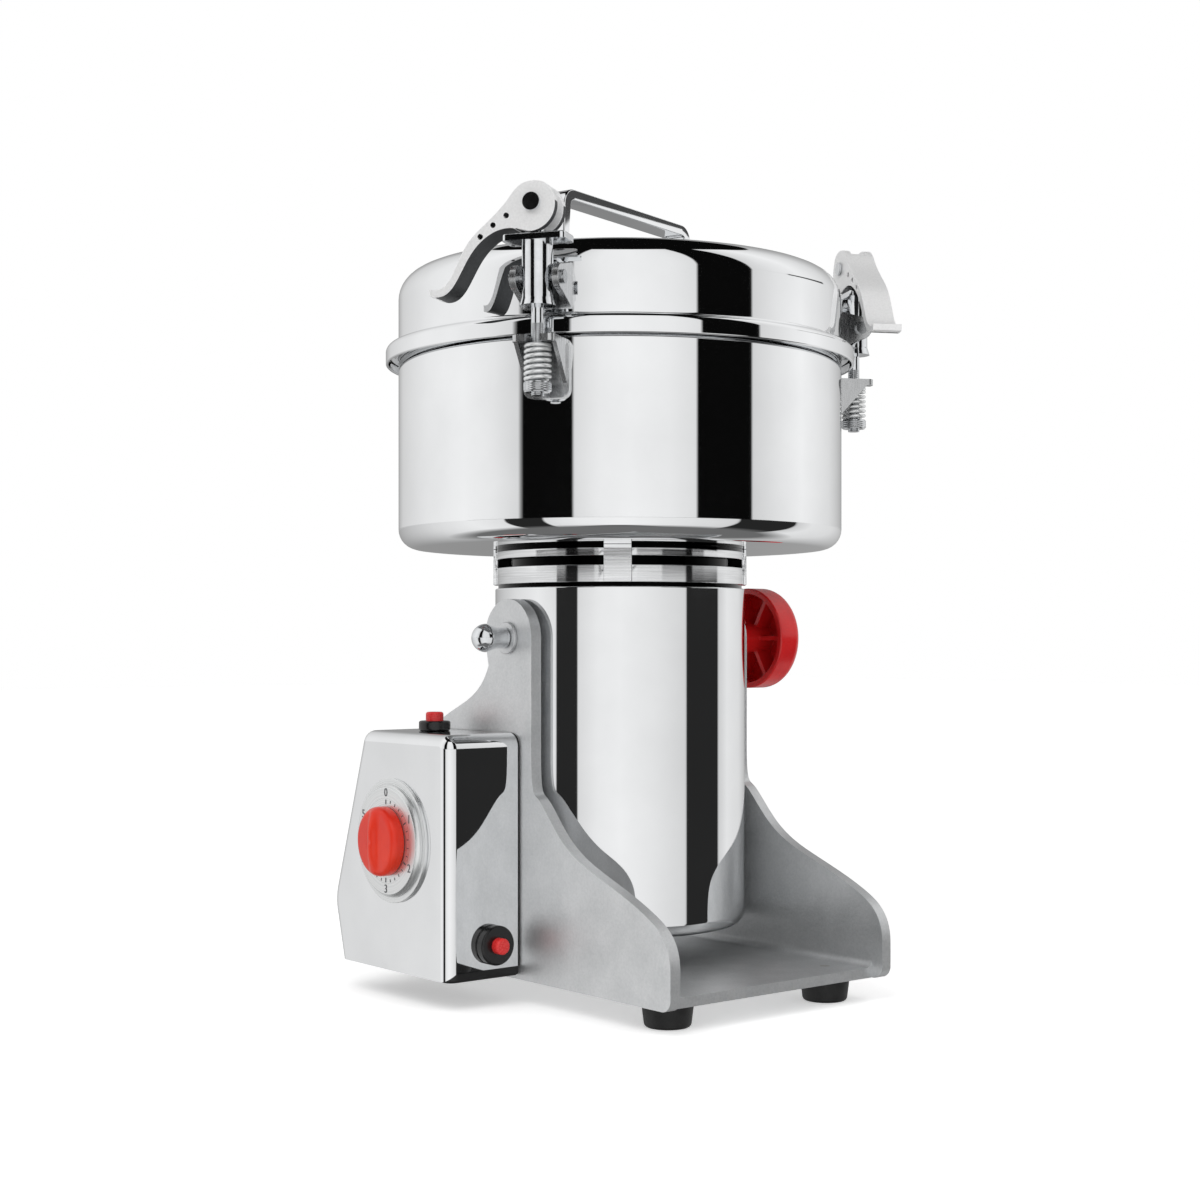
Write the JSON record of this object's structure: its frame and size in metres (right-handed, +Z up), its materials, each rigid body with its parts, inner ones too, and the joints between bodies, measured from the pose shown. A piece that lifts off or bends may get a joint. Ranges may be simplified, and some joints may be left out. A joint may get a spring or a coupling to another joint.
{
  "type": "electric grain mill",
  "caption": "High-speed grain mill whose motor and bolted bowl tip forward on two pivots in a cast cradle, with a lid held by cam clamps and a timer box on the side.",
  "frame": {"origin": "middle of the footprint box, on the bench", "axes": "+Z up, -Y the front towards which the grinder tips, -X the side with the control box"},
  "size_m": [0.2702, 0.2632, 0.405],
  "materials": {
    "cast_aluminium": "sand cast and tumbled",
    "black_rubber": "matte",
    "zinc_screws": "zinc plated",
    "bush_steel": "turned",
    "stainless_sheet": "polished",
    "black_plastic": "moulded",
    "timer_steel": "plated",
    "dial_aluminium": "turned",
    "orange_plastic": "moulded",
    "shaft_steel": "turned",
    "black_bezel": "moulded",
    "red_plastic": "moulded",
    "spring_steel": "drawn wire",
    "chrome_nut": "plated",
    "dark_red_plastic": "moulded",
    "machined_aluminium": "die cast and machined",
    "bearing_steel": "ground",
    "core_steel": "stamped stack",
    "copper_wire": "enamelled",
    "brass": "stamped",
    "carbon": "pressed",
    "copper_segments": "turned",
    "blade_steel": "ground",
    "satin_stainless": "satin",
    "white_silicone": "moulded",
    "polished_strap": "polished",
    "clamp_steel": "polished",
    "rod_steel": "plated",
    "lever_casting": "cast and polished"
  },
  "bodies": {
    "cradle": {"cradle_frame": "cast_aluminium", "rubber_feet": "black_rubber", "foot_screws": "zinc_screws", "pivot_bushes": "bush_steel", "box_cover": "stainless_sheet", "box_tray": "black_plastic", "timer_case": "timer_steel", "dial_plate": "dial_aluminium", "start_switch": "black_bezel", "overload_breaker": "black_bezel", "cord_gland": "black_plastic", "start_spring": "spring_steel", "reset_spring": "spring_steel"},
    "timer": {"timer_knob": "orange_plastic", "timer_shaft": "shaft_steel"},
    "start": {"start_button": "red_plastic"},
    "reset": {"reset_button": "red_plastic"},
    "lock": {"lock_knob": "dark_red_plastic"},
    "grinder": {"motor_shell": "stainless_sheet", "pivot_studs": "shaft_steel", "pivot_cap_nut": "chrome_nut", "motor_base": "cast_aluminium", "neck_casting": "machined_aluminium", "shaft_seal": "black_rubber", "ball_bearings": "bearing_steel", "stator_core": "core_steel", "field_coils": "copper_wire", "brush_holders": "brass", "carbon_brushes": "carbon", "bowl": "stainless_sheet", "bowl_screws": "zinc_screws", "bowl_lugs": "satin_stainless"},
    "spindle": {"spindle_shaft": "shaft_steel", "armature_core": "core_steel", "armature_windings": "copper_wire", "commutator": "copper_segments", "cooling_fan": "black_plastic", "lower_blade": "blade_steel", "middle_blade": "blade_steel", "upper_blade": "blade_steel", "blade_spacers": "shaft_steel", "blade_nut": "chrome_nut"},
    "lid": {"lid": "stainless_sheet", "lid_gasket": "white_silicone", "lid_handle": "polished_strap", "handle_rivets": "polished_strap", "clamp_brackets": "satin_stainless", "hinge_pins": "shaft_steel"},
    "clamp_1": {"clamp_barrel_1": "clamp_steel"},
    "rod_1": {"clamp_rod_1": "rod_steel", "clamp_spring_1": "spring_steel"},
    "lever_1": {"clamp_lever_1": "lever_casting"},
    "clamp_2": {"clamp_barrel_2": "clamp_steel"},
    "rod_2": {"clamp_rod_2": "rod_steel", "clamp_spring_2": "spring_steel"},
    "lever_2": {"clamp_lever_2": "lever_casting"},
    "clamp_3": {"clamp_barrel_3": "clamp_steel"},
    "rod_3": {"clamp_rod_3": "rod_steel", "clamp_spring_3": "spring_steel"},
    "lever_3": {"clamp_lever_3": "lever_casting"}
  },
  "joints": [
    {"name": "tilt", "type": "hinge", "parent": "cradle", "child": "grinder", "pos_m": [0.00686, -0.00806, 0.181], "axis": [1, 0, 0], "range_deg": [0, 90]},
    {"name": "spindle_spin", "type": "hinge", "parent": "grinder", "child": "spindle", "pos_m": [0.00686, -0.00806, 0.092], "axis": [0, 0, 1], "continuous": true},
    {"name": "lid_lift", "type": "slide", "parent": "grinder", "child": "lid", "axis": [0, 0, 1], "range_m": [0, 0.02]},
    {"name": "timer_turn", "type": "hinge", "parent": "cradle", "child": "timer", "pos_m": [-0.10914, 0.02894, 0.08], "axis": [1, 0, 0], "range_deg": [0, 300]},
    {"name": "start_press", "type": "slide", "parent": "cradle", "child": "start", "axis": [0, 0, -1], "range_m": [0, 0.0025], "stiffness_N_per_m": 500, "springref_m": -0.0008, "deforming": ["start_spring"]},
    {"name": "reset_press", "type": "slide", "parent": "cradle", "child": "reset", "axis": [0, 1, 0], "range_m": [0, 0.003], "stiffness_N_per_m": 500, "springref_m": -0.0008, "deforming": ["reset_spring"]},
    {"name": "lock_turn", "type": "hinge", "parent": "grinder", "child": "lock", "pos_m": [0.08146, -0.00806, 0.181], "axis": [1, 0, 0], "continuous": true},
    {"name": "clamp_swing_1", "type": "hinge", "parent": "lid", "child": "clamp_1", "pos_m": [-0.10071, -0.07926, 0.346], "axis": [-0.5519, 0.8339, 0], "range_deg": [0, 21]},
    {"name": "rod_slide_1", "type": "slide", "parent": "clamp_1", "child": "rod_1", "axis": [0, 0, -1], "range_m": [0, 0.003], "deforming": ["clamp_spring_1"]},
    {"name": "lever_throw_1", "type": "hinge", "parent": "rod_1", "child": "lever_1", "pos_m": [-0.10071, -0.07926, 0.3792], "axis": [0.8339, 0.5519, 0], "range_deg": [0, 115]},
    {"name": "clamp_swing_2", "type": "hinge", "parent": "lid", "child": "clamp_2", "pos_m": [0.12231, -0.06562, 0.346], "axis": [-0.4462, -0.8949, 0], "range_deg": [0, 21]},
    {"name": "rod_slide_2", "type": "slide", "parent": "clamp_2", "child": "rod_2", "axis": [0, 0, -1], "range_m": [0, 0.003], "deforming": ["clamp_spring_2"]},
    {"name": "lever_throw_2", "type": "hinge", "parent": "rod_2", "child": "lever_2", "pos_m": [0.12231, -0.06562, 0.3792], "axis": [-0.8949, 0.4462, 0], "range_deg": [0, 115]},
    {"name": "clamp_swing_3", "type": "hinge", "parent": "lid", "child": "clamp_3", "pos_m": [-0.00101, 0.12069, 0.346], "axis": [0.9981, 0.061, 0], "range_deg": [0, 21]},
    {"name": "rod_slide_3", "type": "slide", "parent": "clamp_3", "child": "rod_3", "axis": [0, 0, -1], "range_m": [0, 0.003], "deforming": ["clamp_spring_3"]},
    {"name": "lever_throw_3", "type": "hinge", "parent": "rod_3", "child": "lever_3", "pos_m": [-0.00101, 0.12069, 0.3792], "axis": [0.061, -0.9981, 0], "range_deg": [0, 115]}
  ],
  "couplings": [
    {"joint": "clamp_swing_1", "follows": "lid_lift", "rad_per_m": 18.326},
    {"joint": "lever_throw_1", "follows": "rod_slide_1", "rad_per_m": 669.04},
    {"joint": "clamp_swing_2", "follows": "lid_lift", "rad_per_m": 18.326},
    {"joint": "lever_throw_2", "follows": "rod_slide_2", "rad_per_m": 669.04},
    {"joint": "clamp_swing_3", "follows": "lid_lift", "rad_per_m": 18.326},
    {"joint": "lever_throw_3", "follows": "rod_slide_3", "rad_per_m": 669.04}
  ]
}
